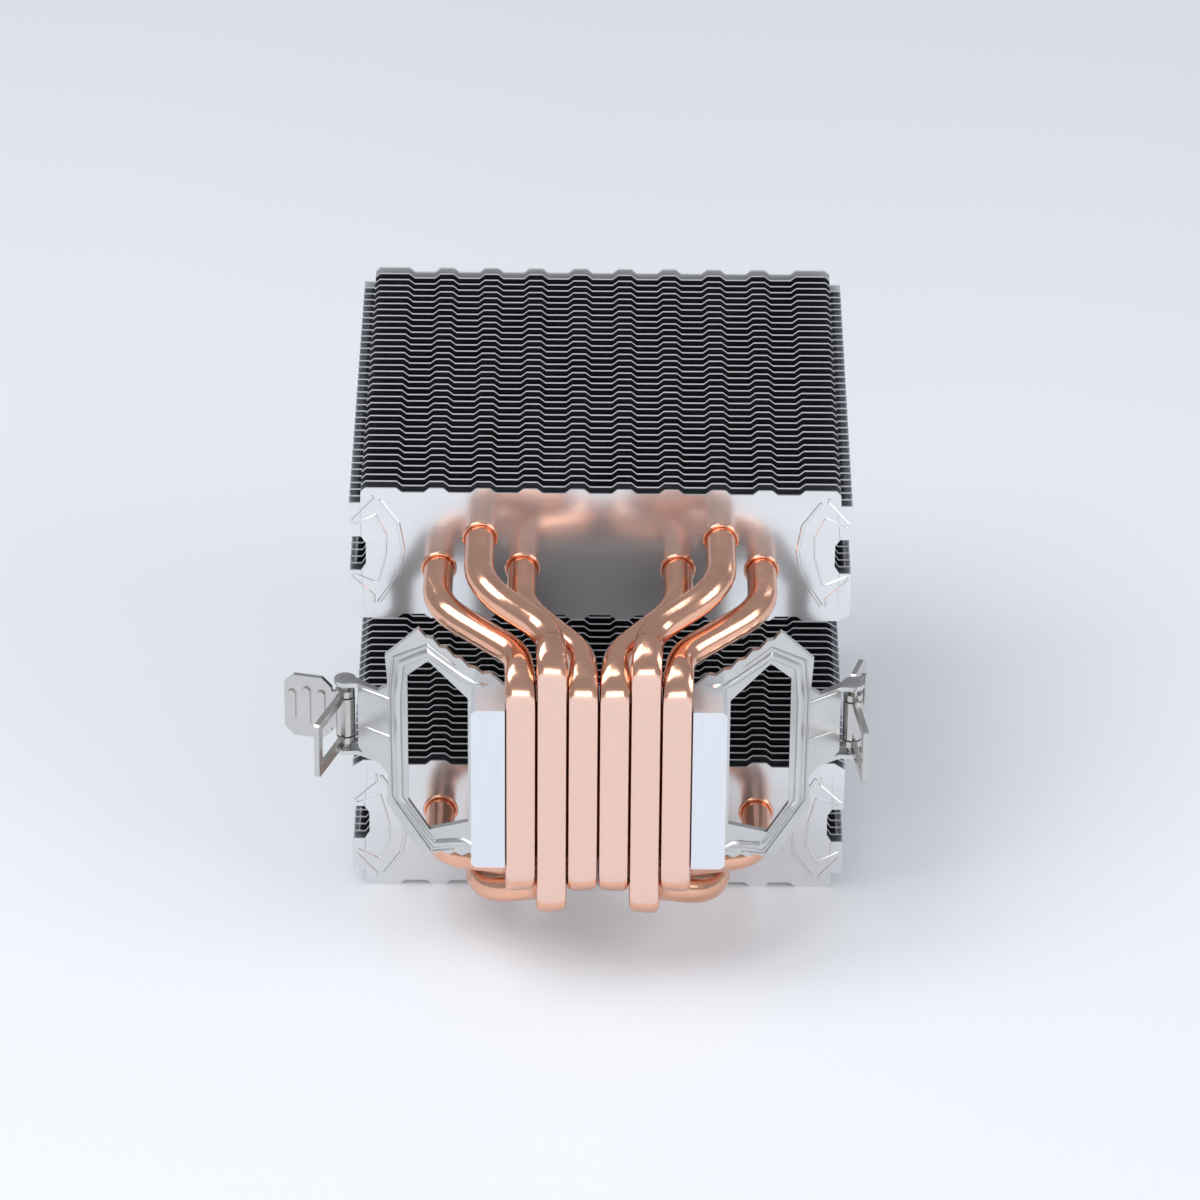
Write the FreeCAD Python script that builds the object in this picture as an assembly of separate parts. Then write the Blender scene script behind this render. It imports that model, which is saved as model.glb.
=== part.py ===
import FreeCAD, Part
import math
import os

V = FreeCAD.Vector

# Dual-tower air cooler, lying on the outer edges of its lower tower.
# X runs across the cooler, Y from the processor face into the towers, Z up.
# The origin is the centre of the processor face. All sizes in millimetres.

# Fin stacks
fin_count = 36
fin_pitch = 2.7
fin_sheet = 0.4
stack_start = 38.0
tower_depth = 30.5
fan_gap = 34.5
fin_half_width = 51.0
wave_period = 9.5
wave_height = 1.0
wave_crest_flat = 2.8
wave_dip_flat = 4.4
plateau_start = 42.1
shoulder_width = 2.3
shoulder_drop = 3.5
inner_corner = 1.5
notch_depth = 3.4
notch_length = 8.0

# Heat pipes
pipe_diameter = 6.0
pipe_count = 6
pipe_base_pitch = 6.25
pipe_base_height = 2.6
pipe_column_x = (15.8, 24.4, 32.8)
pipe_inset_near = 18.5
pipe_inset_far = 11.3
pipe_bend_radius = 5.5
pipe_lean_radius = 6.0
pipe_lean_height = 11.8
pipe_lean_share_x = 0.05
pipe_lean_share_z = 0.07
pipe_entry_bend_radius = 11.0
pipe_drop_near = 15.5
pipe_drop_far = 19.0
pipe_reach_near = 24.5
pipe_reach_far = 29.6
pipe_flat_reach_near = 21.5
pipe_flat_reach_far = 24.5
pipe_tip = 1.5
pipe_tip_taper = 2.0
pipe_tip_narrow = 0.45
pipe_hole_clearance = 0.05
pipe_flats = 12
pipe_bend_steps = 3
pipe_small_bend_steps = 1
pipe_shortest_run = 1.8

# Base block
block_width = 51.2
block_depth = 37.2
block_height = 10.0
block_corner = 0.8
groove_clearance = 0.05

# Mounting plate
plate_sheet = 1.2
plate_ramp_start = 25.0
plate_ramp_slope = 34.0
plate_half_width = 43.4
plate_side_corner = 17.5
plate_peak_inset = 7.0
plate_peak_z = 26.8
plate_tooth_end_x = 22.0
plate_tooth_end_z = 21.3
plate_waist_z = 17.6
plate_tooth_count = 5
plate_tooth_height = 0.8
window_inner_x = 26.4
window_inner_z = 14.7
window_peak_inset = 1.9
window_peak_z = 20.2
window_outer_inset = 4.6
window_outer_z = 15.0
arm_half_width = 8.6
arm_length = 5.8
arm_corner = 2.0
arm_root_step = 1.5
plate_side_taper = 0.5

# Clips on the ends of the arms
pin_overhang = 2.6
pin_rise = 2.08
pin_diameter = 2.0
pin_hole_clearance = 0.05
ear_sheet = 1.0
ear_radius = 2.2
ear_root_length = 4.0
knuckle_radius = 1.9
knuckle_half_length = 4.4
lever_sheet = 1.0
lever_neck = 3.2
lever_length = 13.2
lever_half_width = 7.2
lever_corner = 2.0
lever_rib_width = 1.7
lever_rib_height = 0.5
lever_rib_half_lengths = (3.6, 4.6, 4.2)
lever_rib_first = 4.6
lever_rib_pitch = 3.1
left_lever_angle = 13.0
right_lever_angle = 73.0
hook_sheet = 1.1
hook_half_width = 6.2
hook_rim = 1.9
hook_length = 15.5
hook_side_play = 0.4
hook_corner = 0.4
left_hook_angle = -70.0
right_hook_angle = -82.0

# Values worked out from the sizes above
stack_end = stack_start + (fin_count - 1) * fin_pitch + fin_sheet
tower_outer = fan_gap / 2 + tower_depth
tower_centre = fan_gap / 2 + tower_depth / 2
pipe_radius = pipe_diameter / 2
pipe_hole_half_width = pipe_radius / math.cos(math.pi / pipe_flats) + pipe_hole_clearance
ramp = math.tan(math.radians(plate_ramp_slope))
ramp_sheet = plate_sheet / math.cos(math.radians(plate_ramp_slope))
plate_bottom = block_height
plate_peak_x = plate_half_width - plate_peak_inset
window_peak_x = plate_peak_x - window_peak_inset
window_outer_x = plate_half_width - window_outer_inset
arm_reach = plate_half_width + arm_length
pin_x = arm_reach + pin_overhang
pin_y = plate_bottom + (arm_reach - plate_ramp_start) * ramp + pin_rise


def box(x0, x1, y0, y1, z0, z1):
    return Part.makeBox(x1 - x0, y1 - y0, z1 - z0, V(x0, y0, z0))


def plan_prism(points, y0, height):
    """A prism along Y over an outline of (x, z) points."""
    corners = [V(x, y0, z) for x, z in points]
    face = Part.Face(Part.makePolygon(corners + corners[:1]))
    return face.extrude(V(0, height, 0))


def side_prism(points, z0, height):
    """A prism along Z over an outline of (x, y) points."""
    corners = [V(x, y, z0) for x, y in points]
    face = Part.Face(Part.makePolygon(corners + corners[:1]))
    return face.extrude(V(0, 0, height))


def cut_corner_bar(x0, x1, z0, z1, corner, y0, height):
    """A flat bar along Y with its four upright corners cut off."""
    outline = [
        (x0 + corner, z0), (x1 - corner, z0), (x1, z0 + corner), (x1, z1 - corner),
        (x1 - corner, z1), (x0 + corner, z1), (x0, z1 - corner), (x0, z0 + corner),
    ]
    return plan_prism(outline, y0, height)


def pipe_ring(half_width, centre, across, up):
    """Outline of a pipe or its hole: flats at half_width, the first one facing across."""
    step = 2 * math.pi / pipe_flats
    corner = half_width / math.cos(step / 2)
    points = []
    for index in range(pipe_flats):
        angle = (index + 0.5) * step
        points.append(centre + across * (corner * math.cos(angle)) + up * (corner * math.sin(angle)))
    return Part.makePolygon(points + points[:1])


def knuckle_bar(radius, x, y, half_length):
    """A knuckle along Z about a pin, with as many flats as a pipe."""
    ring = pipe_ring(radius, V(x, y, -half_length), V(1, 0, 0), V(0, 1, 0))
    return Part.Face(ring).extrude(V(0, 0, 2 * half_length))


def pin_bore(x, y):
    """The hole for a pin, with as many flats as a pipe, clear of the pin on every flat."""
    return knuckle_bar(pin_diameter / 2 + pin_hole_clearance, x, y, arm_half_width)


def mirror_x(shape):
    return shape.mirror(V(0, 0, 0), V(1, 0, 0))


def mirror_z(shape):
    return shape.mirror(V(0, 0, 0), V(0, 0, 1))


def save(name, shape):
    if shape.ShapeType != "Compound":
        shape = shape.removeSplitter()
    shape.exportStep(os.path.join("parts", name + ".step"))


# Fins

def wave_centres():
    """Places of the dips and crests between the end plateaus, dips first and last."""
    half_steps = round(2 * (plateau_start - wave_dip_flat / 2) / wave_period)
    return [(step - half_steps) * wave_period / 2 for step in range(2 * half_steps + 1)]


def wave_edge(detailed):
    """One long edge of a fin from left to right, as (x, depth below the crest)."""
    points = [(-plateau_start, 0.0)]
    for index, centre in enumerate(wave_centres()):
        dip = index % 2 == 0
        depth = wave_height if dip else 0.0
        half_flat = (wave_dip_flat if dip else wave_crest_flat) / 2
        if detailed:
            points.append((centre - half_flat, depth))
            points.append((centre + half_flat, depth))
        else:
            points.append((centre, depth))
    points.append((plateau_start, 0.0))
    return points


def end_fin_outline():
    """Outline of an end fin of the upper tower, as (x, z) points."""
    outer = [(x, tower_outer - depth) for x, depth in wave_edge(True)]
    inner = [(x, fan_gap / 2 + depth) for x, depth in reversed(wave_edge(True))]
    side = [
        (fin_half_width - shoulder_width, tower_outer),
        (fin_half_width - shoulder_width, tower_outer - shoulder_drop),
        (fin_half_width, tower_outer - shoulder_drop),
        (fin_half_width, tower_centre + notch_length / 2),
        (fin_half_width - notch_depth, tower_centre + notch_length / 2),
        (fin_half_width - notch_depth, tower_centre - notch_length / 2),
        (fin_half_width, tower_centre - notch_length / 2),
        (fin_half_width, fan_gap / 2 + inner_corner),
        (fin_half_width - inner_corner, fan_gap / 2),
    ]
    return outer + side + inner + [(-x, z) for x, z in reversed(side)]


def middle_fin_outline(waved):
    """Outline of a middle fin of the upper tower, as (x, z) points, with plain waves if asked."""
    outer = [(x, tower_outer - depth) for x, depth in wave_edge(False)] if waved else []
    side = [
        (fin_half_width - shoulder_width, tower_outer),
        (fin_half_width - shoulder_width, tower_outer - shoulder_drop),
        (fin_half_width, tower_outer - shoulder_drop),
        (fin_half_width, fan_gap / 2),
    ]
    return outer + side + [(-x, z) for x, z in reversed(side)]


def pipe_columns():
    """The (x, z) place of each pipe's straight leg in the upper tower, left to right."""
    near = tower_outer - pipe_inset_near
    far = tower_outer - pipe_inset_far
    right = list(zip(pipe_column_x, (near, far, near)))
    return [(-x, z) for x, z in reversed(right)] + right


def end_fin(y0):
    fin = plan_prism(end_fin_outline(), y0, fin_sheet)
    for x, z in pipe_columns():
        ring = pipe_ring(pipe_hole_half_width, V(x, y0, z), V(1, 0, 0), V(0, 0, 1))
        fin = fin.cut(Part.Face(ring).extrude(V(0, fin_sheet, 0)))
    return fin


def middle_fins(waved):
    first = plan_prism(middle_fin_outline(waved), stack_start + fin_pitch, fin_sheet)
    return Part.Compound([first.translated(V(0, index * fin_pitch, 0)) for index in range(fin_count - 2)])


# Heat pipes

def bend_points(before, corner, after, radius, steps):
    """Points on the arc that rounds a corner of a pipe's path, in equal steps."""
    back = (before - corner).normalize()
    ahead = (after - corner).normalize()
    half_turn = (math.pi - back.getAngle(ahead)) / 2
    reach = radius * math.tan(half_turn)
    centre = corner + (back + ahead).normalize() * (radius / math.cos(half_turn))
    start = corner + back * reach - centre
    axis = back.cross(ahead).normalize()
    points = []
    for index in range(steps + 1):
        turn = FreeCAD.Rotation(axis, -math.degrees(2 * half_turn) * index / steps)
        points.append(centre + turn.multVec(start))
    return points


def join_short_runs(path):
    """Put neighbouring points of a path together where the run between them is too short to mitre."""
    kept = path[:1]
    for point in path[1:]:
        if point.distanceToPoint(kept[-1]) < pipe_shortest_run:
            kept[-1] = (kept[-1] + point) * 0.5
        else:
            kept.append(point)
    return kept


def heat_pipe(index):
    """A U-shaped pipe: flat under the block, round through both towers."""
    base_x = (index - (pipe_count - 1) / 2) * pipe_base_pitch
    column_x, column_z = pipe_columns()[index]
    far = column_z > tower_outer - (pipe_inset_near + pipe_inset_far) / 2
    reach = pipe_reach_far if far else pipe_reach_near
    flat_reach = pipe_flat_reach_far if far else pipe_flat_reach_near
    middle = V(base_x, pipe_base_height, 0)
    base_corner = V(base_x, pipe_base_height, reach)
    drop = pipe_drop_far if far else pipe_drop_near
    lean_x = base_x + (column_x - base_x) * pipe_lean_share_x
    lean_z = reach + (column_z - reach) * pipe_lean_share_z
    lean = V(lean_x, pipe_lean_height, lean_z)
    knee = V(column_x, stack_start - drop, column_z)
    top = V(column_x, stack_end + pipe_tip, column_z)
    path = [middle]
    path += bend_points(middle, base_corner, lean, pipe_bend_radius, pipe_bend_steps)
    path += bend_points(base_corner, lean, knee, pipe_lean_radius, pipe_small_bend_steps)
    path += bend_points(lean, knee, top, pipe_entry_bend_radius, pipe_small_bend_steps)
    path.append(top)
    ring = pipe_ring(pipe_radius, middle, V(1, 0, 0), V(0, 1, 0))
    half_pipe = Part.makePolygon(join_short_runs(path)).makePipeShell([ring], True, False, 1)
    leg_end = max(half_pipe.Faces, key=lambda face: face.CenterOfMass.y)
    tip_end = leg_end.scaled(pipe_tip_narrow, top).translated(V(0, pipe_tip_taper, 0))
    tip = Part.makeLoft([leg_end.OuterWire, tip_end.OuterWire], True, True)
    half_pipe = half_pipe.fuse(tip)
    half = pipe_base_pitch / 2
    flat = cut_corner_bar(
        base_x - half, base_x + half, -flat_reach, flat_reach, half / 2, 0.0, pipe_base_height
    )
    below = box(
        base_x - pipe_diameter, base_x + pipe_diameter, -pipe_diameter, 0, -tower_outer, tower_outer
    )
    return half_pipe.fuse(mirror_z(half_pipe)).fuse(flat).cut(below)


# Base block

def base_block():
    block = cut_corner_bar(
        -block_width / 2, block_width / 2, -block_depth / 2, block_depth / 2, block_corner, 0, block_height
    )
    half = pipe_base_pitch / 2 + groove_clearance
    for index in range(pipe_count):
        x = (index - (pipe_count - 1) / 2) * pipe_base_pitch
        crown = pipe_ring(half, V(x, pipe_base_height, -block_depth), V(1, 0, 0), V(0, 1, 0))
        slot = box(x - half, x + half, 0, pipe_base_height, -block_depth, block_depth)
        block = block.cut(slot).cut(Part.Face(crown).extrude(V(0, 0, 2 * block_depth)))
    return block


# Mounting plate

def plate_teeth():
    """Scalloped edge of the plate where it passes under the pipes, as (x, z) points."""
    points = []
    run_x = plate_tooth_end_x - plate_peak_x
    run_z = plate_tooth_end_z - plate_peak_z
    for index in range(plate_tooth_count):
        share = (index + 0.5) / plate_tooth_count
        next_share = (index + 1) / plate_tooth_count
        x, z = plate_peak_x + share * run_x, plate_peak_z + share * run_z
        points.append((x, z - plate_tooth_height))
        points.append((plate_peak_x + next_share * run_x, plate_peak_z + next_share * run_z))
    return points


def plate_outline():
    quarter = [
        (plate_half_width - plate_side_taper, arm_half_width + arm_corner),
        (plate_half_width, plate_side_corner),
        (plate_peak_x, plate_peak_z),
    ]
    quarter += plate_teeth()
    quarter.append((plate_tooth_end_x - (plate_tooth_end_z - plate_waist_z), plate_waist_z))
    quarter = [
        (arm_reach, arm_half_width - arm_corner),
        (arm_reach - arm_corner, arm_half_width),
        (plate_half_width + arm_root_step, arm_half_width),
    ] + quarter
    outline = list(quarter)
    outline += [(-x, z) for x, z in reversed(quarter)]
    outline += [(-x, -z) for x, z in quarter]
    outline += [(x, -z) for x, z in reversed(quarter)]
    return outline


def plate_window():
    upper = [
        (window_inner_x, window_inner_z),
        (window_peak_x, window_peak_z),
        (window_outer_x, window_outer_z),
    ]
    return upper + [(x, -z) for x, z in reversed(upper)]


def ramp_height(x):
    """Height of the plate's underside at a distance x from its middle."""
    return plate_bottom + max(0.0, x - plate_ramp_start) * ramp


def mounting_plate():
    reach = pin_x
    lift = ramp_height(reach)
    bent = side_prism(
        [
            (-reach, lift),
            (-plate_ramp_start, plate_bottom),
            (plate_ramp_start, plate_bottom),
            (reach, lift),
            (reach, lift + ramp_sheet),
            (plate_ramp_start, plate_bottom + plate_sheet),
            (-plate_ramp_start, plate_bottom + plate_sheet),
            (-reach, lift + ramp_sheet),
        ],
        -tower_outer,
        2 * tower_outer,
    )
    plate = bent.common(plan_prism(plate_outline(), 0, stack_start))
    window = plan_prism(plate_window(), 0, stack_start)
    plate = plate.cut(window).cut(mirror_x(window))
    for ear in pin_ears():
        plate = plate.fuse(ear)
    return plate


def pin_ears():
    """Four ears, turned up from the arms' edges, that hold the two pins."""
    root = arm_reach - ear_root_length
    ear_corner = V(pin_x, pin_y, arm_half_width - ear_sheet)
    boss_ring = pipe_ring(ear_radius, ear_corner, V(1, 0, 0), V(0, 1, 0))
    profile = side_prism(
        [
            (root, ramp_height(root)),
            (arm_reach, ramp_height(arm_reach)),
            (pin_x, pin_y - ear_radius),
            (pin_x, pin_y + ear_radius),
            (root, ramp_height(root) + ramp_sheet),
        ],
        arm_half_width - ear_sheet,
        ear_sheet,
    )
    boss = Part.Face(boss_ring).extrude(V(0, 0, ear_sheet))
    ear = profile.fuse(boss).cut(pin_bore(pin_x, pin_y))
    pair = [ear, mirror_z(ear)]
    return pair + [mirror_x(shape) for shape in pair]


# Clips

def pivot_pin(side):
    length = 2 * arm_half_width
    return Part.makeCylinder(pin_diameter / 2, length, V(side * pin_x, pin_y, -arm_half_width))


def lever():
    """Finger lever on the right side, pointing along +X from the pin at the origin."""
    top = knuckle_radius
    sheet_base = top - lever_sheet
    knuckle = knuckle_bar(knuckle_radius, 0, 0, knuckle_half_length)
    neck = box(0, lever_neck, sheet_base, top, -knuckle_half_length, knuckle_half_length)
    tab = cut_corner_bar(
        lever_neck, lever_length, -lever_half_width, lever_half_width, lever_corner, sheet_base, lever_sheet
    )
    body = knuckle.fuse(neck).fuse(tab)
    for index, half in enumerate(reversed(lever_rib_half_lengths)):
        x = lever_rib_first + index * lever_rib_pitch
        rib = cut_corner_bar(
            x, x + lever_rib_width, -half, half, lever_rib_width / 3, sheet_base - lever_rib_height,
            lever_rib_height
        )
        body = body.fuse(rib)
    return body.cut(pin_bore(0, 0))


def hook():
    """Hook plate on the right side, pointing along +X from the pin at the origin."""
    half = hook_sheet / 2
    inner = knuckle_half_length + hook_side_play
    relief_end = knuckle_radius + hook_side_play
    plate = cut_corner_bar(
        half, hook_length, -hook_half_width, hook_half_width, hook_corner, -half, hook_sheet
    )
    window_half = hook_half_width - hook_rim
    window = box(relief_end, hook_length - hook_rim, -half, half, -window_half, window_half)
    relief = box(0, relief_end, -half, half, -inner, inner)
    between = box(-relief_end, relief_end, -relief_end, relief_end, -inner, inner)
    rings = knuckle_bar(knuckle_radius, 0, 0, hook_half_width).cut(between)
    return plate.cut(window).cut(relief).fuse(rings).cut(pin_bore(0, 0))


def on_arm(shape, angle, left):
    """Turn a clip piece about its pin and set it on the right or the left arm."""
    placed = shape.copy()
    placed.rotate(V(0, 0, 0), V(0, 0, 1), angle)
    placed.translate(V(pin_x, pin_y, 0))
    return mirror_x(placed) if left else placed


os.makedirs("parts", exist_ok=True)

bottom_fin = end_fin(stack_start)
top_fin = end_fin(stack_end - fin_sheet)
save("upper_bottom_fin", bottom_fin)
save("upper_middle_fins", middle_fins(True))
save("upper_top_fin", top_fin)
save("lower_bottom_fin", mirror_z(bottom_fin))
save("lower_middle_fins", mirror_z(middle_fins(False)))
save("lower_top_fin", mirror_z(top_fin))

for pipe_index in range(pipe_count):
    save("heat_pipe_" + str(pipe_index + 1), heat_pipe(pipe_index))

save("base_block", base_block())
save("mounting_plate", mounting_plate())
save("left_pivot_pin", pivot_pin(-1))
save("right_pivot_pin", pivot_pin(1))
save("left_finger_lever", on_arm(lever(), left_lever_angle, True))
save("right_finger_lever", on_arm(lever(), right_lever_angle, False))
save("left_hook_plate", on_arm(hook(), left_hook_angle, True))
save("right_hook_plate", on_arm(hook(), right_hook_angle, False))
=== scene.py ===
"""Visual model of a dual-tower processor cooler, lying on one tower, built round its CAD frame."""
from math import atan2, cos, pi, radians, sin, sqrt, tan

import bmesh
import bpy
from mathutils import Euler, Matrix, Vector


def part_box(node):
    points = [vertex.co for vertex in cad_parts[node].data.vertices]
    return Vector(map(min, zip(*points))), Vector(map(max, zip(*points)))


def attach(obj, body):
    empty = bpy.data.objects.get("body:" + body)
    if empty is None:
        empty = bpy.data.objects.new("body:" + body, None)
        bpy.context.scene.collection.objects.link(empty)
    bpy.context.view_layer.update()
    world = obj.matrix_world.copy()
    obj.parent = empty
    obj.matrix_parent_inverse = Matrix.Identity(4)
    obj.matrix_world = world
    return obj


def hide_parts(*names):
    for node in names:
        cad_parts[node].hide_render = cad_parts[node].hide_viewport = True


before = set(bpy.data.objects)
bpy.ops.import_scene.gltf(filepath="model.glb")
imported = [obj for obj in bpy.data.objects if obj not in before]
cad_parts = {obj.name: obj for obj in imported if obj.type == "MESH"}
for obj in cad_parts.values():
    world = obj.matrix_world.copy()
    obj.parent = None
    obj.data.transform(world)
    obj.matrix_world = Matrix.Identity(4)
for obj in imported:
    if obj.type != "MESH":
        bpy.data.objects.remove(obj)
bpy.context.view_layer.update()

bl_info = {
    "name": "Dual-Tower Cooler",
    "version": (1, 0, 0),
    "blender": (4, 5, 0),
    "location": "View3D > Sidebar > Cooler",
    "description": "Models the fins, heat pipes, base, plate and clips of a dual-tower processor cooler",
    "category": "Object",
}

MM = 0.001

# Places that follow the CAD frame, in millimetres
FIN_LOW, FIN_HIGH = (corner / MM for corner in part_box("upper_bottom_fin"))
FIN_HALF_WIDTH = FIN_HIGH.x
TOWER_OUTER = FIN_HIGH.z
TOWER_INNER = FIN_LOW.z
STACK_START = FIN_LOW.y
STACK_END = [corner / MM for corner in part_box("upper_top_fin")][1].y
FIN_SHEET = FIN_HIGH.y - FIN_LOW.y


def activate(obj):
    """Make one object the only selected and active one."""
    bpy.ops.object.select_all(action="DESELECT")
    obj.select_set(True)
    bpy.context.view_layer.objects.active = obj


def begin(name):
    """Name the primitive just added and open it for editing."""
    obj = bpy.context.active_object
    obj.name = name
    obj.data.name = name
    bpy.ops.object.mode_set(mode="EDIT")
    return obj


def settle(obj):
    """Leave edit mode and put the object's place into its mesh."""
    if bpy.context.mode != "OBJECT":
        bpy.ops.object.mode_set(mode="OBJECT")
    activate(obj)
    bpy.ops.object.transform_apply(location=True, rotation=True, scale=True)
    return obj


def choose(obj, kind, test):
    """Select the vertices, edges or faces of the mesh in edit mode that pass a test of their middle."""
    bpy.ops.mesh.select_mode(type=kind)
    bpy.ops.mesh.select_all(action="DESELECT")
    mesh = bmesh.from_edit_mesh(obj.data)
    if kind == "VERT":
        for item in mesh.verts:
            item.select_set(bool(test(item.co / MM)))
    elif kind == "EDGE":
        for item in mesh.edges:
            item.select_set(bool(test((item.verts[0].co + item.verts[1].co) / 2 / MM)))
    else:
        for item in mesh.faces:
            item.select_set(bool(test(item.calc_center_median() / MM)))
    mesh.select_flush_mode()
    bmesh.update_edit_mesh(obj.data)


def slide(vector):
    bpy.ops.transform.translate(value=Vector(vector) * MM)


def plane_piece(name, centre, size_x, size_z):
    """A flat sheet in the XZ plane, open for editing."""
    bpy.ops.mesh.primitive_plane_add(size=1, location=(0, 0, 0), rotation=(pi / 2, 0, 0))
    obj = begin(name)
    bpy.ops.object.mode_set(mode="OBJECT")
    activate(obj)
    obj.scale = (size_x * MM, size_z * MM, 1)
    obj.location = Vector(centre) * MM
    bpy.ops.object.transform_apply(location=True, rotation=True, scale=True)
    bpy.ops.object.mode_set(mode="EDIT")
    return obj


def box_piece(name, low, high, bevel=0.0, segments=1):
    """A bar between two corners in millimetres, with its edges bevelled, left in object mode."""
    low, high = Vector(low), Vector(high)
    bpy.ops.mesh.primitive_cube_add(size=1, location=(0, 0, 0))
    obj = bpy.context.active_object
    obj.name = name
    obj.data.name = name
    obj.scale = (high - low) * MM
    obj.location = (low + high) / 2 * MM
    settle(obj)
    if bevel:
        bpy.ops.object.mode_set(mode="EDIT")
        bpy.ops.mesh.select_all(action="SELECT")
        bpy.ops.mesh.bevel(offset=bevel * MM, segments=segments)
        bpy.ops.object.mode_set(mode="OBJECT")
    return obj


def cut_at(obj, point, normal):
    """Bisect the whole mesh in edit mode."""
    bpy.ops.mesh.select_all(action="SELECT")
    bpy.ops.mesh.bisect(plane_co=Vector(point) * MM, plane_no=normal)


def add_modifier(obj, kind, **values):
    modifier = obj.modifiers.new(kind.lower(), kind)
    for key, value in values.items():
        setattr(modifier, key, value)
    activate(obj)
    bpy.ops.object.modifier_apply(modifier=modifier.name)


def copied(obj, name, offset=(0, 0, 0), scale=(1, 1, 1)):
    """A copy with its own mesh, mirrored or moved, with its place in the mesh."""
    activate(obj)
    bpy.ops.object.duplicate()
    made = bpy.context.active_object
    made.name = name
    made.data.name = name
    made.scale = scale
    made.location = Vector(offset) * MM
    settle(made)
    if scale[0] * scale[1] * scale[2] < 0:
        bpy.ops.object.mode_set(mode="EDIT")
        bpy.ops.mesh.select_all(action="SELECT")
        bpy.ops.mesh.flip_normals()
        bpy.ops.object.mode_set(mode="OBJECT")
    return made


def join(objects, name):
    bpy.ops.object.select_all(action="DESELECT")
    for obj in objects:
        obj.select_set(True)
    bpy.context.view_layer.objects.active = objects[0]
    bpy.ops.object.join()
    made = bpy.context.active_object
    made.name = name
    made.data.name = name
    return made


def dress(obj, material, body, slot, *nodes):
    """Give a finished piece its material and body, and hide the CAD nodes it stands for; the slot is not used."""
    obj.data.materials.clear()
    obj.data.materials.append(material)
    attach(obj, body)
    if nodes:
        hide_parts(*nodes)
    return obj


# Materials

def new_material(name, colour, metallic, roughness):
    material = bpy.data.materials.new(name)
    material.use_nodes = True
    shader = material.node_tree.nodes["Principled BSDF"]
    shader.inputs["Base Color"].default_value = (*colour, 1)
    shader.inputs["Metallic"].default_value = metallic
    shader.inputs["Roughness"].default_value = roughness
    return material, material.node_tree, shader


def object_noise(tree, scale, stretch=(1, 1, 1), detail=3.0):
    """Noise on Object coordinates; stretch is along the object's own axes."""
    coordinates = tree.nodes.new("ShaderNodeTexCoord")
    mapping = tree.nodes.new("ShaderNodeMapping")
    mapping.inputs["Scale"].default_value = stretch
    noise = tree.nodes.new("ShaderNodeTexNoise")
    noise.inputs["Scale"].default_value = scale
    noise.inputs["Detail"].default_value = detail
    tree.links.new(coordinates.outputs["Object"], mapping.inputs["Vector"])
    tree.links.new(mapping.outputs["Vector"], noise.inputs["Vector"])
    return noise


def ramp_between(tree, source, low, high, first, second):
    """A colour ramp from one grey or colour to another over part of the noise's range."""
    ramp = tree.nodes.new("ShaderNodeValToRGB")
    ramp.color_ramp.elements[0].position = low
    ramp.color_ramp.elements[1].position = high
    ramp.color_ramp.elements[0].color = (*first, 1)
    ramp.color_ramp.elements[1].color = (*second, 1)
    tree.links.new(source, ramp.inputs["Fac"])
    return ramp


def vary(tree, shader, noise, socket, low, high):
    """Let a noise move one of the shader's values between two limits."""
    spread = tree.nodes.new("ShaderNodeMapRange")
    spread.inputs["To Min"].default_value = low
    spread.inputs["To Max"].default_value = high
    tree.links.new(noise.outputs["Fac"], spread.inputs["Value"])
    tree.links.new(spread.outputs["Result"], shader.inputs[socket])


def roughen(tree, shader, noise, strength, distance):
    bump = tree.nodes.new("ShaderNodeBump")
    bump.inputs["Strength"].default_value = strength
    bump.inputs["Distance"].default_value = distance
    tree.links.new(noise.outputs["Fac"], bump.inputs["Height"])
    tree.links.new(bump.outputs["Normal"], shader.inputs["Normal"])


def rolled_aluminium(look):
    """Fin sheet, rolled along X, its colour darkened as painted shade for the gaps between the fins."""
    colour = look.fin_painted_shade_colour
    material, tree, shader = new_material("rolled_aluminium", colour, 1.0, look.fin_roughness)
    grain = object_noise(tree, 900, (0.06, 1, 1))
    shade = ramp_between(tree, grain.outputs["Fac"], 0.3, 0.7, [c * 0.94 for c in colour], colour)
    tree.links.new(shade.outputs["Color"], shader.inputs["Base Color"])
    vary(tree, shader, object_noise(tree, 60), "Roughness", look.fin_roughness - 0.05, look.fin_roughness + 0.06)
    roughen(tree, shader, grain, 0.08, 0.0001)
    return material


def bright_edge(look):
    """The sheared edges of the fins, and the top fins, which catch the light."""
    material, tree, shader = new_material("sheared_aluminium", look.edge_colour, 0.55, 0.4)
    grain = object_noise(tree, 700, (0.1, 1, 1))
    shade = ramp_between(
        tree, grain.outputs["Fac"], 0.3, 0.7, [c * 0.93 for c in look.edge_colour], look.edge_colour
    )
    tree.links.new(shade.outputs["Color"], shader.inputs["Base Color"])
    vary(tree, shader, object_noise(tree, 60), "Roughness", 0.34, 0.46)
    roughen(tree, shader, grain, 0.06, 0.0001)
    return material


def bright_aluminium(look):
    """The towers' bottom fins, bright as a soft mirror."""
    colour = look.edge_colour
    material, tree, shader = new_material("bright_aluminium", colour, 0.82, 0.16)
    grain = object_noise(tree, 300, (0.15, 1, 1))
    shade = ramp_between(tree, grain.outputs["Fac"], 0.3, 0.7, [c * 0.96 for c in colour], colour)
    tree.links.new(shade.outputs["Color"], shader.inputs["Base Color"])
    vary(tree, shader, object_noise(tree, 60), "Roughness", 0.13, 0.22)
    roughen(tree, shader, object_noise(tree, 45), 0.12, 0.0004)
    return material


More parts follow.
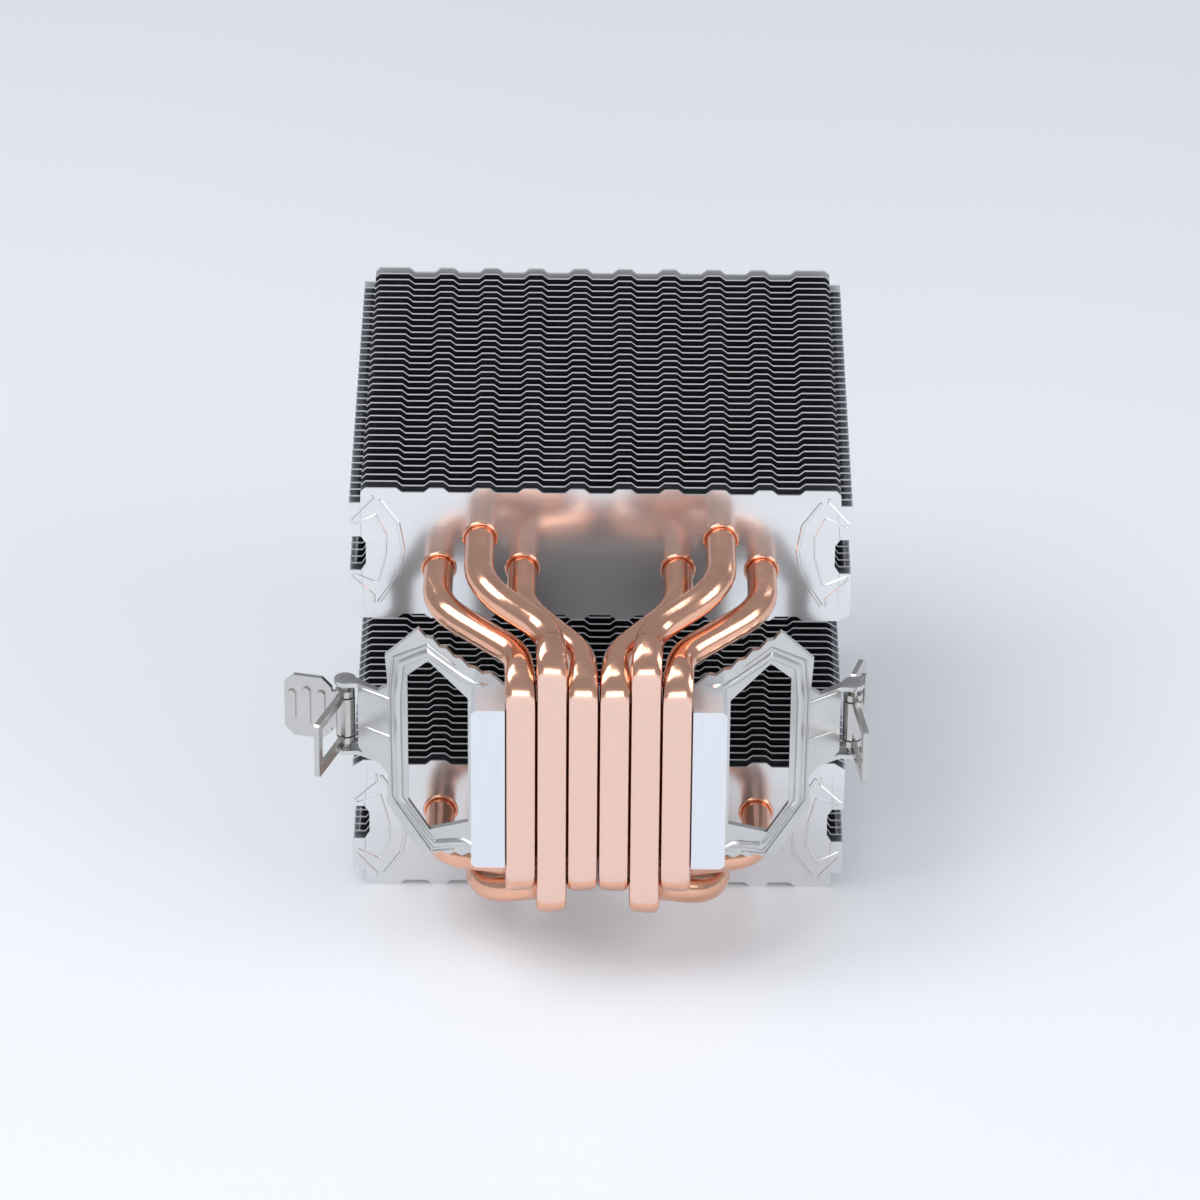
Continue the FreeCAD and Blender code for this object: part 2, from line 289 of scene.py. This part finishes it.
def polished_copper(look):
    """Drawn copper pipe: satin with bright streaks, matte where it is milled flat."""
    material, tree, shader = new_material("polished_copper", look.copper_colour, 1.0, 0.25)
    patina = object_noise(tree, 160, (1, 1, 1), 4.0)
    shade = ramp_between(
        tree, patina.outputs["Fac"], 0.35, 0.7, [c * 0.90 for c in look.copper_colour], look.copper_colour
    )
    coordinates = tree.nodes.new("ShaderNodeTexCoord")
    split = tree.nodes.new("ShaderNodeSeparateXYZ")
    tree.links.new(coordinates.outputs["Object"], split.inputs["Vector"])
    milled = tree.nodes.new("ShaderNodeMapRange")
    milled.inputs["From Min"].default_value = 0.00004
    milled.inputs["From Max"].default_value = 0.00022
    milled.inputs["To Min"].default_value = 1.0
    milled.inputs["To Max"].default_value = 0.0
    tree.links.new(split.outputs["Y"], milled.inputs["Value"])
    colours = tree.nodes.new("ShaderNodeMix")
    colours.data_type = "RGBA"
    colours.inputs[7].default_value = (*look.milled_copper_colour, 1)
    tree.links.new(milled.outputs["Result"], colours.inputs[0])
    tree.links.new(shade.outputs["Color"], colours.inputs[6])
    tree.links.new(colours.outputs[2], shader.inputs["Base Color"])
    base = tree.nodes.new("ShaderNodeMapRange")
    base.inputs["To Min"].default_value = 0.13
    base.inputs["To Max"].default_value = 0.24
    tree.links.new(patina.outputs["Fac"], base.inputs["Value"])
    finish = tree.nodes.new("ShaderNodeMix")
    finish.inputs[3].default_value = 0.55
    tree.links.new(milled.outputs["Result"], finish.inputs[0])
    tree.links.new(base.outputs["Result"], finish.inputs[2])
    tree.links.new(finish.outputs[0], shader.inputs["Roughness"])
    roughen(tree, shader, object_noise(tree, 240), 0.22, 0.0004)
    return material


def milled_aluminium(look):
    """Fly-cut block, fine satin."""
    colour = look.block_colour
    material, tree, shader = new_material("milled_aluminium", colour, 0.75, 0.5)
    marks = object_noise(tree, 1200, (1, 1, 0.08))
    shade = ramp_between(tree, marks.outputs["Fac"], 0.3, 0.7, [c * 0.96 for c in colour], colour)
    tree.links.new(shade.outputs["Color"], shader.inputs["Base Color"])
    vary(tree, shader, marks, "Roughness", 0.42, 0.56)
    roughen(tree, shader, marks, 0.06, 0.0001)
    return material


def plated_steel(look, name, colour, roughness):
    """Nickel-plated sheet with faint cloudy wear."""
    material, tree, shader = new_material(name, colour, 1.0, roughness)
    cloud = object_noise(tree, 140, (1, 1, 1), 5.0)
    shade = ramp_between(tree, cloud.outputs["Fac"], 0.3, 0.75, [c * 0.90 for c in colour], colour)
    tree.links.new(shade.outputs["Color"], shader.inputs["Base Color"])
    vary(tree, shader, cloud, "Roughness", roughness - 0.06, roughness + 0.08)
    roughen(tree, shader, object_noise(tree, 1500), 0.06, 0.0001)
    return material


# Settings

class CoolerSettings(bpy.types.PropertyGroup):
    """Sizes and colours of the cooler's visual model."""
    fin_pitch: bpy.props.FloatProperty(
        name="Fin pitch", description="Distance from one fin to the next, mm", default=2.7, min=1, max=6
    )
    fin_thickness: bpy.props.FloatProperty(
        name="Fin thickness", description="Thickness of a middle fin's sheet, mm", default=0.52, min=0.2, max=1
    )
    wave_height: bpy.props.FloatProperty(
        name="Wave height", description="Depth of the waves along the fins' edges, mm", default=1.0, min=0, max=3
    )
    pipe_radius: bpy.props.FloatProperty(
        name="Pipe radius", description="Outer radius of the heat pipes, mm", default=3.0, min=1, max=5
    )
    collar_radius: bpy.props.FloatProperty(
        name="Collar radius", description="Outer radius of the fins' collars, mm", default=3.65, min=2, max=6
    )
    fin_roughness: bpy.props.FloatProperty(
        name="Fin roughness", description="Roughness of the fin sheet", default=0.22, min=0.05, max=0.9,
        subtype="FACTOR"
    )
    # The fin colour is darker than the edge colour: painted shade for the gaps between the fins.
    fin_painted_shade_colour: bpy.props.FloatVectorProperty(
        name="Fin colour", description="Aluminium between the fins", default=(0.50, 0.51, 0.54), subtype="COLOR"
    )
    edge_colour: bpy.props.FloatVectorProperty(
        name="Edge colour", description="Bright aluminium of the outer fins and edges", default=(0.80, 0.805, 0.82),
        subtype="COLOR"
    )
    copper_colour: bpy.props.FloatVectorProperty(
        name="Copper colour", description="Copper of the round pipes", default=(0.91, 0.51, 0.36), subtype="COLOR"
    )
    milled_copper_colour: bpy.props.FloatVectorProperty(
        name="Milled copper colour", description="Copper where it is milled flat", default=(0.88, 0.63, 0.54),
        subtype="COLOR"
    )
    block_colour: bpy.props.FloatVectorProperty(
        name="Block colour", description="Aluminium of the base block", default=(0.80, 0.83, 0.88), subtype="COLOR"
    )
    plate_colour: bpy.props.FloatVectorProperty(
        name="Plate colour", description="Nickel-plated mounting plate", default=(0.66, 0.66, 0.65), subtype="COLOR"
    )
    clip_colour: bpy.props.FloatVectorProperty(
        name="Clip colour", description="Nickel-plated clips", default=(0.62, 0.61, 0.59), subtype="COLOR"
    )


class StageSettings(bpy.types.PropertyGroup):
    """Floor, lights and camera."""
    floor_colour: bpy.props.FloatVectorProperty(
        name="Floor colour", description="Pale floor and backdrop", default=(0.80, 0.825, 0.865), subtype="COLOR"
    )
    floor_lift: bpy.props.FloatProperty(
        name="Floor lift", description="How much brighter the camera sees the floor", default=0.14, min=0, max=1
    )
    light_strength: bpy.props.FloatProperty(
        name="Light strength", description="Power of the key light, W", default=3.05, min=0, max=50
    )
    air_strength: bpy.props.FloatProperty(
        name="Air strength", description="Strength of the light from all round", default=0.42, min=0, max=5
    )
    lens: bpy.props.FloatProperty(
        name="Lens", description="Focal length on a 36 mm sensor, mm", default=195.0, min=20, max=400
    )


SHOULDER_WIDTH = 2.35
SHOULDER_DROP = 3.5
NOTCH_DEPTH = 3.4
NOTCH_LENGTH = 8.0
NOTCH_CORNER = 1.6
NOTCH_FLARE = 1.0
SHOULDER_GROOVE_WIDTH = 0.12
SHOULDER_GROOVE_DEPTH = 0.9
INNER_CORNER_DROP = 1.5
TAB_INSET = 0.9
TAB_SHEET = 0.35
TAB_GAP = 0.5
WAVE_PERIOD = 9.5
WAVE_CREST_FLAT = 2.8
WAVE_DIP_FLAT = 4.4
PLATEAU_START = 42.1
PIPE_PITCH = 6.25
PIPE_BASE_HEIGHT = 2.6
PIPE_COLUMNS = ((15.8, 29.25), (24.4, 36.45), (32.8, 29.25))
PIPE_COUNT = 6


def pipe_places():
    """The (x, z) place of each pipe's upper leg, left to right."""
    return [(-x, z) for x, z in reversed(PIPE_COLUMNS)] + list(PIPE_COLUMNS)


def dip_centres():
    half_steps = round(2 * (PLATEAU_START - WAVE_DIP_FLAT / 2) / WAVE_PERIOD)
    return [(step - half_steps) * WAVE_PERIOD / 2 for step in range(0, 2 * half_steps + 1, 2)]


def fin_sheet(name, look):
    """One fin of the upper tower: a plane, cut across at every wave corner, its edge strips pushed in."""
    middle = (TOWER_OUTER + TOWER_INNER) / 2
    obj = plane_piece(name, (0, 0, middle), 2 * FIN_HALF_WIDTH, TOWER_OUTER - TOWER_INNER)
    dips = dip_centres()
    slope = (WAVE_PERIOD - WAVE_CREST_FLAT - WAVE_DIP_FLAT) / 2
    shoulder = FIN_HALF_WIDTH - SHOULDER_WIDTH
    notch = FIN_HALF_WIDTH - NOTCH_DEPTH
    cuts = [shoulder - SHOULDER_GROOVE_WIDTH, shoulder, notch]
    for side in (-1, 1):
        for centre in dips:
            cut_at(obj, (centre + side * WAVE_DIP_FLAT / 2, 0, 0), (1, 0, 0))
            cut_at(obj, (centre + side * (WAVE_DIP_FLAT / 2 + slope), 0, 0), (1, 0, 0))
        for place in cuts:
            cut_at(obj, (side * place, 0, 0), (1, 0, 0))
        cut_at(obj, (0, 0, middle + side * NOTCH_LENGTH / 2), (0, 0, 1))
        cut_at(obj, (0, 0, middle + side * (NOTCH_LENGTH / 2 - NOTCH_CORNER)), (0, 0, 1))
    for centre in dips:
        near = lambda co: abs(co.x - centre) < WAVE_DIP_FLAT / 2 + 0.1
        choose(obj, "VERT", lambda co: near(co) and co.z > TOWER_OUTER - 0.1)
        slide((0, 0, -look.wave_height))
        choose(obj, "VERT", lambda co: near(co) and co.z < TOWER_INNER + 0.1)
        slide((0, 0, look.wave_height))
    choose(obj, "VERT", lambda co: abs(co.x) > shoulder - 0.06 and co.z > TOWER_OUTER - 0.1)
    slide((0, 0, -SHOULDER_DROP))
    choose(obj, "VERT", lambda co: shoulder - 0.2 < abs(co.x) < shoulder - 0.06 and co.z > TOWER_OUTER - 0.1)
    slide((0, 0, -SHOULDER_GROOVE_DEPTH))
    choose(obj, "VERT", lambda co: abs(co.x) > FIN_HALF_WIDTH - 0.1 and co.z < TOWER_INNER + 0.1)
    slide((0, 0, INNER_CORNER_DROP))
    choose(obj, "FACE", lambda co: abs(co.x) > notch and abs(co.z - middle) < NOTCH_LENGTH / 2)
    bpy.ops.mesh.delete(type="FACE")
    for side in (-1, 1):
        choose(obj, "VERT", lambda co: abs(co.x - side * notch) < 0.05
               and abs(abs(co.z - middle) - NOTCH_LENGTH / 2) < 0.05)
        slide((side * NOTCH_FLARE, 0, 0))
    bpy.ops.mesh.select_all(action="SELECT")
    bpy.ops.mesh.remove_doubles(threshold=0.00001)
    bpy.ops.object.mode_set(mode="OBJECT")
    return obj


def side_tab(side, z0, z1, look):
    """The folded tab on a fin's short side that spaces it from the next fin."""
    outer = side * (FIN_HALF_WIDTH - TAB_INSET)
    inner = outer - side * TAB_SHEET
    return box_piece("tab", (min(outer, inner), 0.1, z0), (max(outer, inner), look.fin_pitch - TAB_GAP, z1))


class COOLER_OT_fins(bpy.types.Operator):
    """Stack the waved fins of both towers"""
    bl_idname = "cooler.fins"
    bl_label = "Fins"

    def execute(self, context):
        look = context.scene.cooler
        metal = rolled_aluminium(look)
        count = round((STACK_END - FIN_SHEET - STACK_START) / look.fin_pitch) + 1
        sheet = fin_sheet("fin_sheet", look)
        edge = bright_edge(look)
        parts = [copied(sheet, "fin_body")]
        parts[0].data.materials.append(metal)
        parts[0].data.materials.append(edge)
        add_modifier(parts[0], "SOLIDIFY", thickness=look.fin_thickness * MM, offset=0, material_offset_rim=1)
        middle = (TOWER_OUTER + TOWER_INNER) / 2
        for side in (-1, 1):
            parts.append(side_tab(side, TOWER_INNER + 2.5, middle - NOTCH_LENGTH / 2 - 1, look))
            parts.append(side_tab(side, middle + NOTCH_LENGTH / 2 + 1, TOWER_OUTER - 6.0, look))
        fin = join(parts, "fin_body")
        fins = []
        for index in range(1, count):
            fins.append(copied(fin, "fin", (0, STACK_START + FIN_SHEET / 2 + index * look.fin_pitch, 0)))
        for name, stack in (("middle_fins", fins[:-1]), ("top_fin", fins[-1:])):
            upper = join(stack, "upper_" + name)
            lower = copied(upper, "lower_" + name + "_sheet", scale=(1, 1, -1))
            upper.name = "upper_" + name + "_sheet"
            for piece, node in ((upper, "upper_" + name), (lower, "lower_" + name)):
                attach(piece, "root")
                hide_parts(node)
                if name == "top_fin":
                    piece.data.materials[0] = edge

        bright = bright_aluminium(look)
        face = copied(sheet, "upper_face_fin", (0, STACK_START + FIN_SHEET / 2, 0))
        add_modifier(face, "SOLIDIFY", thickness=FIN_SHEET * MM, offset=0)
        ribs = face_fin_ribs()
        upper_face = join([face] + ribs, "upper_face_fin")
        lower_face = copied(upper_face, "lower_face_fin", scale=(1, 1, -1))
        dress(upper_face, bright, "root", "fin_aluminium", "upper_bottom_fin")
        dress(lower_face, bright, "root", "fin_aluminium", "lower_bottom_fin")
        for spare in (sheet, fin):
            activate(spare)
            bpy.ops.object.delete()
        return {"FINISHED"}


def rib_along(points, height, y, half_width, name):
    """A low pressed rib that follows a line of (x, z) points on a flat sheet facing -Y."""
    bpy.ops.mesh.primitive_plane_add(size=1, location=(0, 0, 0))
    obj = begin(name)
    bpy.ops.mesh.select_mode(type="VERT")
    bpy.ops.mesh.select_all(action="SELECT")
    bpy.ops.mesh.delete(type="VERT")
    mesh = bmesh.from_edit_mesh(obj.data)
    rows = []
    for number, (x, z) in enumerate(points):
        here = Vector((x, z))
        ahead = (Vector(points[number + 1]) - here).normalized() if number + 1 < len(points) else None
        behind = (here - Vector(points[number - 1])).normalized() if number else None
        along = ((ahead or behind) + (behind or ahead)).normalized()
        stretch = 1 / max(0.4, along.dot(ahead or behind))
        across = Vector((-along.y, along.x)) * half_width * stretch
        level = y(x) if callable(y) else y
        row = []
        for share, lift in ((-1, -0.15), (-0.35, height), (0.35, height), (1, -0.15)):
            spot = here + across * share
            row.append(mesh.verts.new(Vector((spot.x, level - lift, spot.y)) * MM))
        rows.append(row)
    for first, second in zip(rows, rows[1:]):
        for left in range(3):
            mesh.faces.new((first[left], first[left + 1], second[left + 1], second[left]))
    mesh.faces.new(rows[0])
    mesh.faces.new(list(reversed(rows[-1])))
    for first, second in zip(rows, rows[1:]):
        mesh.faces.new((first[3], first[0], second[0], second[3]))
    bmesh.ops.recalc_face_normals(mesh, faces=mesh.faces)
    bmesh.update_edit_mesh(obj.data)
    bpy.ops.object.mode_set(mode="OBJECT")
    return obj


def face_fin_ribs():
    """Pressed lines near the short sides of a bottom fin, on the upper tower."""
    lines = (
        ((-46.2, 46.0), (-46.1, 45.1), (-50.3, 40.2), (-49.9, 39.2), (-45.4, 41.6)),
        ((-45.6, 41.6), (-43.4, 36.8), (-43.6, 32.3), (-45.2, 25.8)),
        ((-45.6, 25.7), (-50.0, 27.7), (-50.4, 26.9), (-46.0, 22.6), (-46.1, 20.7)),
        ((-44.6, 45.0), (-41.0, 39.7), (-40.0, 33.6), (-41.0, 27.6), (-45.1, 21.0)),
    )
    ribs = []
    for side in (-1, 1):
        for number, line in enumerate(lines):
            points = [(-x if side > 0 else x, z) for x, z in line]
            wide = 0.55 if number == 3 else 0.3
            ribs.append(rib_along(points, 0.25, STACK_START, wide, "rib"))
    return ribs


# Heat pipes

def corner_arc(before, corner, after, radius):
    """Centre, axis, turn and start of the arc that rounds a corner, as the pipes are bent in the CAD."""
    back = (before - corner).normalized()
    ahead = (after - corner).normalized()
    half_turn = (pi - back.angle(ahead)) / 2
    centre = corner + (back + ahead).normalized() * (radius / cos(half_turn))
    start = corner + back * radius * tan(half_turn)
    end = corner + ahead * radius * tan(half_turn)
    return centre, back.cross(ahead).normalized(), 2 * half_turn, start, end


PIPE_BENDS = {"near": 24.5, "far": 29.6}
PIPE_KNEES = {"near": 22.5, "far": 19.0}
BEND_RADIUS = 5.5
LEAN_RADIUS = 8.0
ENTRY_RADIUS = 11.0
LEAN_HEIGHT = 11.8
LEAN_SHARE_X = 0.05
LEAN_SHARE_Z = 0.07
PIPE_TIP = 1.5
PIPE_SIDES = 32
PRESS_START = 2.6
PRESS_END = 8.0


def pipe_corners(index):
    """Corner points of half a pipe's centre line, from the middle of the base to its tip."""
    base_x = (index - (PIPE_COUNT - 1) / 2) * PIPE_PITCH
    x, z = pipe_places()[index]
    row = "far" if z > 33 else "near"
    reach = PIPE_BENDS[row]
    return [
        Vector((base_x, PIPE_BASE_HEIGHT, 0)),
        Vector((base_x, PIPE_BASE_HEIGHT, reach)),
        Vector((base_x + (x - base_x) * LEAN_SHARE_X, LEAN_HEIGHT, reach + (z - reach) * LEAN_SHARE_Z)),
        Vector((x, PIPE_KNEES[row], z)),
        Vector((x, STACK_END + PIPE_TIP, z)),
    ]


def extrude_ring(vector):
    bpy.ops.mesh.extrude_region_move(TRANSFORM_OT_translate={"value": Vector(vector) * MM})


def pipe_half(index, radius):
    """Half a pipe: a ring at its middle, extruded along the runs and spun round the bends."""
    corners = pipe_corners(index)
    bpy.ops.mesh.primitive_circle_add(vertices=PIPE_SIDES, radius=radius * MM, location=corners[0] * MM)
    obj = begin("heat_pipe_" + str(index + 1) + "_round")
    bpy.ops.mesh.select_mode(type="EDGE")
    bpy.ops.mesh.select_all(action="SELECT")
    here = corners[0]
    for number, (radius_here, steps) in enumerate(((BEND_RADIUS, 12), (LEAN_RADIUS, 5), (ENTRY_RADIUS, 6))):
        before, corner, after = corners[number:number + 3]
        centre, axis, turn, start, end = corner_arc(before, corner, after, radius_here)
        run = start - here
        pieces = 10 if number == 0 else 2
        for _ in range(pieces):
            extrude_ring(run / pieces)
        bpy.ops.mesh.spin(
            steps=steps, angle=turn, center=centre * MM, axis=axis, use_auto_merge=False
        )
        here = end
    extrude_ring(corners[-1] - here)
    extrude_ring((0, PIPE_BASE_HEIGHT * 0.3, 0))
    ring_centre = (corners[-1] + Vector((0, PIPE_BASE_HEIGHT * 0.3, 0))) * MM
    bpy.ops.transform.resize(value=(0.86, 0.86, 0.86), center_override=ring_centre)
    extrude_ring((0, 1.1, 0))
    bpy.ops.transform.resize(
        value=(0.5, 0.5, 0.5), center_override=ring_centre + Vector((0, 1.1, 0)) * MM
    )
    bpy.ops.mesh.edge_face_add()
    bpy.ops.object.mode_set(mode="OBJECT")
    settle(obj)
    return obj


def press_flat(obj, index, radius):
    """Square off the pipe's lower half in the block and in the start of its bend, then mill its face level."""
    corners = pipe_corners(index)
    centre, _, _, start, _ = corner_arc(*corners[:3], BEND_RADIUS)
    base_x = corners[0].x
    for vertex in obj.data.vertices:
        x, y, z = vertex.co / MM
        along = abs(z) - start.z
        if y > LEAN_HEIGHT or along > PRESS_END + radius:
            continue
        if along > 0:
            spoke = Vector((0, y - centre.y, abs(z) - centre.z))
            along = atan2(spoke.z, -spoke.y) * BEND_RADIUS
            outward = spoke.normalized()
            down = spoke.length - BEND_RADIUS
        else:
            outward = Vector((0, -1, 0))
            down = PIPE_BASE_HEIGHT - y
        if down <= 0:
            continue
        share = 1.0 - min(1.0, max(0.0, (along - PRESS_START) / (PRESS_END - PRESS_START)))
        share = share * share * (3 - 2 * share)
        across = x - base_x
        power = 2 + 5 * share
        reach = sqrt(across * across + down * down)
        grown = (abs(across / reach) ** power + abs(down / reach) ** power) ** (-1 / power)
        grown = max(1.0, grown) - 1.0
        side = 1 + (PIPE_PITCH / 2 - 0.03 - radius) / radius * share
        push = outward * down * grown
        new_z = z + (push.z if z > 0 else -push.z)
        vertex.co = Vector((base_x + across * (1 + grown) * side, max(0.0, y + push.y), new_z)) * MM
    obj.data.update()


class COOLER_OT_pipes(bpy.types.Operator):
    """Bend the six heat pipes through the base and both towers"""
    bl_idname = "cooler.pipes"
    bl_label = "Heat pipes"

    def execute(self, context):
        look = context.scene.cooler
        metal = polished_copper(look)
        for index in range(PIPE_COUNT):
            pipe = pipe_half(index, look.pipe_radius)
            add_modifier(pipe, "MIRROR", use_axis=(False, False, True), merge_threshold=0.00002)
            press_flat(pipe, index, look.pipe_radius)
            activate(pipe)
            bpy.ops.object.mode_set(mode="EDIT")
            bpy.ops.mesh.select_all(action="SELECT")
            bpy.ops.mesh.remove_doubles(threshold=0.00002)
            bpy.ops.mesh.normals_make_consistent(inside=False)
            bpy.ops.object.mode_set(mode="OBJECT")
            bpy.ops.object.shade_smooth_by_angle(angle=radians(35))
            dress(pipe, metal, "root", "pipe_copper", "heat_pipe_" + str(index + 1))
        return {"FINISHED"}


class COOLER_OT_collars(bpy.types.Operator):
    """Flare a copper-coloured collar round each pipe at the bottom fins"""
    bl_idname = "cooler.collars"
    bl_label = "Collars"

    def execute(self, context):
        look = context.scene.cooler
        rings = []
        for x, z in pipe_places():
            for side in (-1, 1):
                place = Vector((x, STACK_START - 0.15, side * z)) * MM
                bpy.ops.mesh.primitive_torus_add(
                    location=place, rotation=(pi / 2, 0, 0), major_segments=40, minor_segments=8,
                    major_radius=(look.collar_radius - 0.35) * MM, minor_radius=0.35 * MM
                )
                rings.append(settle(bpy.context.active_object))
        collars = join(rings, "fin_collars")
        bpy.ops.object.shade_smooth()
        dress(collars, bpy.data.materials["polished_copper"], "root", "pipe_copper")
        return {"FINISHED"}


PLATE_RAMP = 0.68
PLATE_RIB = ((22.5, 18.0), (27.5, 19.2), (34.5, 22.0), (40.0, 17.1), (40.7, 9.0), (40.5, -15.0), (33.5, -23.2),
             (27.4, -20.1), (24.4, -20.3))

OUTER_RIB = ((29.0, 21.4), (34.6, 23.9), (41.7, 18.0), (42.5, 9.0), (42.3, -15.6), (34.2, -25.3), (29.6, -22.8))


def on_plate(x, z):
    """Height of the mounting plate's near face at a place in millimetres."""
    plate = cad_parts["mounting_plate"]
    hit, place, _, _ = plate.ray_cast(Vector((x, -20, z)) * MM, Vector((0, 1, 0)))
    if not hit:
        raise RuntimeError("no plate at %.1f, %.1f" % (x, z))
    return place.y / MM


def plate_rib(points, side, half_width, height):
    """A pressed rib that follows the plate's near face."""
    spots = []
    for (x0, z0), (x1, z1) in zip(points, points[1:]):
        steps = max(2, round(Vector((x1 - x0, z1 - z0)).length / 1.5))
        for step in range(steps):
            share = step / steps
            spots.append((side * (x0 + (x1 - x0) * share), z0 + (z1 - z0) * share))
    spots.append((side * points[-1][0], points[-1][1]))
    levels = {round(x, 4): on_plate(x, z) for x, z in spots}
    slopes = sorted(levels)

    def level(x):
        nearest = min(slopes, key=lambda known: abs(known - x))
        return levels[nearest] + (abs(x) - abs(nearest)) * PLATE_RAMP

    return rib_along(spots, height, level, half_width, "plate_rib")


class COOLER_OT_plate_ribs(bpy.types.Operator):
    """Press the double ribs into the mounting plate's frames"""
    bl_idname = "cooler.plate_ribs"
    bl_label = "Plate ribs"

    def execute(self, context):
        ribs = []
        for side in (-1, 1):
            ribs.append(plate_rib(PLATE_RIB, side, 1.0, 0.6))
            ribs.append(plate_rib(OUTER_RIB, side, 0.3, 0.32))
            for z in (7.6, -1.4):
                ribs.append(plate_rib(((42.6, z), (48.4, z)), side, 0.5, 0.35))
        made = join(ribs, "plate_ribs")
        add_modifier(made, "BEVEL", width=0.12 * MM, segments=2, limit_method="ANGLE")
        bpy.ops.object.shade_smooth_by_angle(angle=radians(40))
        dress(made, bpy.data.materials["plated_sheet"], "root", "plate_steel")
        return {"FINISHED"}


class COOLER_OT_finishes(bpy.types.Operator):
    """Give the block, plate and clips their metal"""
    bl_idname = "cooler.finishes"
    bl_label = "Block, plate and clip finishes"

    def execute(self, context):
        look = context.scene.cooler
        block = milled_aluminium(look)
        plate = plated_steel(look, "plated_sheet", look.plate_colour, 0.30)
        clip = plated_steel(look, "plated_spring", look.clip_colour, 0.26)
        for node, metal in (
            ("base_block", block), ("mounting_plate", plate), ("left_pivot_pin", clip), ("right_pivot_pin", clip),
            ("left_finger_lever", clip), ("right_finger_lever", clip), ("left_hook_plate", clip),
            ("right_hook_plate", clip),
        ):
            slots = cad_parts[node].material_slots
            for slot in slots:
                slot.material = metal
        return {"FINISHED"}


class COOLER_OT_stage(bpy.types.Operator):
    """Set the floor, the soft lights and the camera"""
    bl_idname = "cooler.stage"
    bl_label = "Stage"

    def execute(self, context):
        setup = context.scene.cooler_stage
        scene = context.scene
        bpy.ops.mesh.primitive_plane_add(size=8, location=(0, 1.2, -TOWER_OUTER * MM - 0.00002))
        floor = bpy.context.active_object
        floor.name = "floor"
        settle(floor)
        material, tree, shader = new_material("pale_floor", setup.floor_colour, 0.0, 0.55)
        shader.inputs["Specular IOR Level"].default_value = 0.35
        cloud = object_noise(tree, 1.5)
        shade = ramp_between(
            tree, cloud.outputs["Fac"], 0.3, 0.7, [c * 0.99 for c in setup.floor_colour], setup.floor_colour
        )
        tree.links.new(shade.outputs["Color"], shader.inputs["Base Color"])
        path = tree.nodes.new("ShaderNodeLightPath")
        seen = tree.nodes.new("ShaderNodeMath")
        seen.operation = "MAXIMUM"
        tree.links.new(path.outputs["Is Camera Ray"], seen.inputs[0])
        tree.links.new(path.outputs["Is Glossy Ray"], seen.inputs[1])
        lift = tree.nodes.new("ShaderNodeMath")
        lift.operation = "MULTIPLY"
        lift.inputs[1].default_value = setup.floor_lift
        tree.links.new(seen.outputs[0], lift.inputs[0])
        shader.inputs["Emission Color"].default_value = (*setup.floor_colour, 1)
        tree.links.new(lift.outputs[0], shader.inputs["Emission Strength"])
        floor.data.materials.append(material)

        world = bpy.data.worlds.new("studio_air")
        scene.world = world
        world.use_nodes = True
        air = world.node_tree.nodes["Background"]
        air.inputs["Color"].default_value = (0.90, 0.93, 1.0, 1)
        air.inputs["Strength"].default_value = setup.air_strength

        def soft_light(name, place, target, size, power):
            lamp = bpy.data.lights.new(name, "AREA")
            lamp.shape = "SQUARE"
            lamp.size = size
            lamp.energy = power
            obj = bpy.data.objects.new(name, lamp)
            scene.collection.objects.link(obj)
            obj.location = place
            obj.rotation_euler = (Vector(target) - Vector(place)).to_track_quat("-Z", "Y").to_euler()

        soft_light("key_light", (-0.45, -0.15, 0.85), (0, 0.05, 0), 0.7, setup.light_strength * 1.9)
        soft_light("fill_light", (0.75, -0.35, 0.5), (0, 0.05, 0), 0.6, setup.light_strength)
        soft_light("front_light", (0.0, -1.3, 0.25), (0, 0.05, 0), 0.5, setup.light_strength * 0.8)

        scene.view_settings.view_transform = "Standard"
        camera = bpy.data.cameras.new("camera")
        camera.lens = setup.lens
        camera.sensor_width = 36
        camera.clip_start = 0.05
        holder = bpy.data.objects.new("camera", camera)
        scene.collection.objects.link(holder)
        scene.camera = holder
        focus = Vector((0, 0.0378, 0))
        elevation = radians(31.74)
        distance = 1.3364
        holder.location = focus + distance * Vector((0, -cos(elevation), sin(elevation)))
        aim = Euler((pi / 2 - elevation, 0, 0)).to_matrix()
        tilt = Matrix.Rotation(radians(0.808), 3, "X")
        roll = Matrix.Rotation(radians(0.46), 3, "Z")
        holder.rotation_euler = (aim @ tilt @ roll).to_euler()
        return {"FINISHED"}


class COOLER_PT_panel(bpy.types.Panel):
    """Sizes, colours and steps of the cooler"""
    bl_label = "Cooler"
    bl_idname = "COOLER_PT_panel"
    bl_space_type = "VIEW_3D"
    bl_region_type = "UI"
    bl_category = "Cooler"

    def draw(self, context):
        layout = self.layout
        for group in (context.scene.cooler, context.scene.cooler_stage):
            for name in group.__annotations__:
                layout.prop(group, name)
        for step in STEPS:
            layout.operator(step.bl_idname)


STEPS = (
    COOLER_OT_fins, COOLER_OT_pipes, COOLER_OT_collars, COOLER_OT_finishes, COOLER_OT_plate_ribs, COOLER_OT_stage
)
CLASSES = (CoolerSettings, StageSettings) + STEPS + (COOLER_PT_panel,)


def register():
    for item in CLASSES:
        bpy.utils.register_class(item)
    bpy.types.Scene.cooler = bpy.props.PointerProperty(type=CoolerSettings)
    bpy.types.Scene.cooler_stage = bpy.props.PointerProperty(type=StageSettings)


def unregister():
    del bpy.types.Scene.cooler_stage
    del bpy.types.Scene.cooler
    for item in reversed(CLASSES):
        bpy.utils.unregister_class(item)


def main():
    register()
    for step in STEPS:
        group, action = step.bl_idname.split(".")
        getattr(getattr(bpy.ops, group), action)()


if __name__ == "__main__":
    main()
